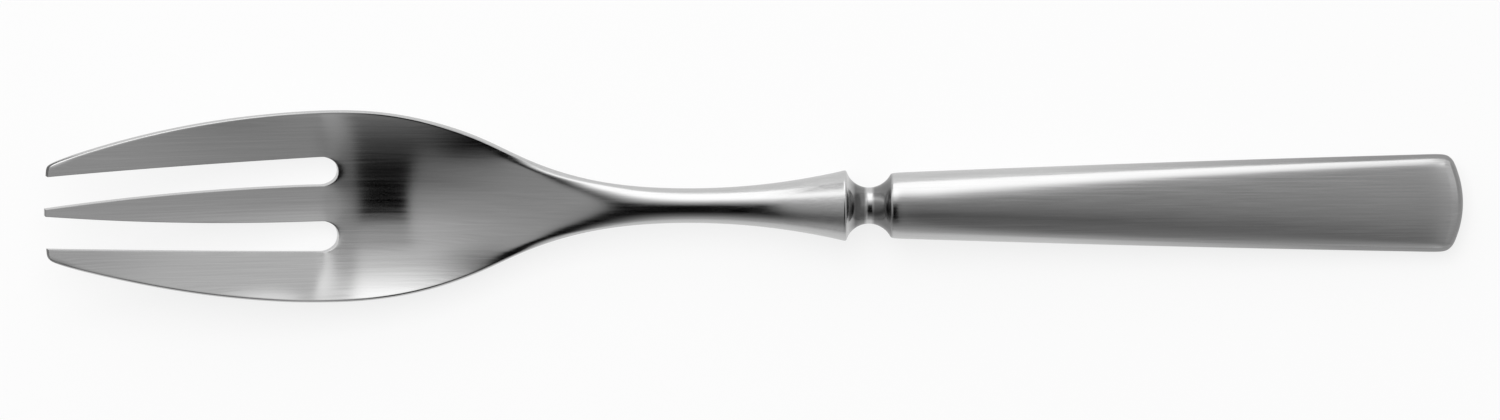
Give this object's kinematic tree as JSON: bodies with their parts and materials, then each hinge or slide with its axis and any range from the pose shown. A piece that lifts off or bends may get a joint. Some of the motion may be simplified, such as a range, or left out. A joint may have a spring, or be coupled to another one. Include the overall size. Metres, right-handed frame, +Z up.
{
  "type": "cake fork",
  "caption": "Slim stainless steel cake fork with a leaf-shaped head, broad outer tines, a round waisted neck and a handle that widens to a flat rounded end.",
  "frame": {"origin": "centre of the fork's length and width, on the surface that it rests on", "axes": "+X from the tines to the end of the handle, +Y across the fork, +Z up out of the hollow of the head"},
  "size_m": [0.15, 0.0204, 0.0109],
  "materials": {
    "satin_steel": "satin stainless steel, brushed along the fork"
  },
  "bodies": {
    "root": {"fork": "satin_steel"}
  },
  "joints": []
}
